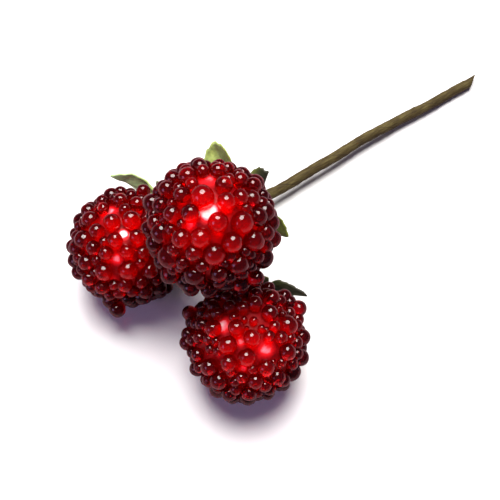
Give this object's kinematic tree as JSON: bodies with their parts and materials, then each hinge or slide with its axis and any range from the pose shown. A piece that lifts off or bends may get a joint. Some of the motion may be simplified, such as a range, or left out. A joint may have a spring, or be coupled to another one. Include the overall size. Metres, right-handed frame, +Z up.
{
  "type": "artificial raspberry spray",
  "caption": "Craft spray of bead-covered artificial raspberries with fabric sepals, wired to one tape-wrapped stem and lying on its side.",
  "frame": {"origin": "middle of the bounding box, on the surface that the spray lies on", "axes": "+X runs along the stem from the berries towards its cut end, +Z is up from the surface"},
  "size_m": [0.1026, 0.0544, 0.0412],
  "materials": {
    "ruby_beads": "clear dark red glass beads, glossy",
    "foam_core": "white foam stained pink and red by the glue",
    "leaf_cloth": "stiffened green cloth, mottled",
    "wrapped_wire": "olive brown floral tape, dull",
    "stem_tape": "olive brown floral tape, dull, wound in a spiral"
  },
  "bodies": {
    "root": {"beads_middle": "ruby_beads", "beads_left": "ruby_beads", "beads_right": "ruby_beads", "core_middle": "foam_core", "core_left": "foam_core", "core_right": "foam_core", "calyx_middle": "leaf_cloth", "calyx_left": "leaf_cloth", "calyx_right": "leaf_cloth", "wire_middle": "wrapped_wire", "wire_left": "wrapped_wire", "wire_right": "wrapped_wire", "stem": "stem_tape"}
  },
  "joints": []
}
